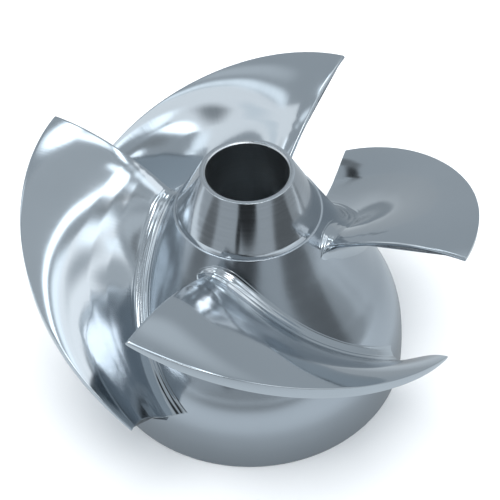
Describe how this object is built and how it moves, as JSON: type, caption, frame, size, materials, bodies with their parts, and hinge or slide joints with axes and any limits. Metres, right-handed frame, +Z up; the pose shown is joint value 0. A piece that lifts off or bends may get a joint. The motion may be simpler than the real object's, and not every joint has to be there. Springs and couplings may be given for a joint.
{
  "type": "axial pump impeller",
  "caption": "Polished stainless steel water-jet pump impeller with swept screw blades round a bell-shaped hub and a bored conical nose.",
  "frame": {"origin": "on the floor, at the centre of the hub's open rim", "axes": "+Z up along the shaft axis towards the nose, -Y towards the picture's viewer"},
  "size_m": [0.159, 0.159, 0.0917],
  "materials": {
    "hub_steel": "polished stainless steel with fine milling marks",
    "nose_steel": "polished stainless steel with fine turning lines",
    "bore_steel": "bored stainless steel",
    "blade_steel": "mirror polished stainless steel"
  },
  "bodies": {
    "root": {"hub_rim": "hub_steel", "hub_skirt": "hub_steel", "hub_belt": "hub_steel", "hub_crown": "hub_steel", "hub_neck": "hub_steel", "nose_cone": "nose_steel", "shaft_boss": "bore_steel", "blade_1": "blade_steel", "blade_2": "blade_steel", "blade_3": "blade_steel", "blade_4": "blade_steel"}
  },
  "joints": []
}
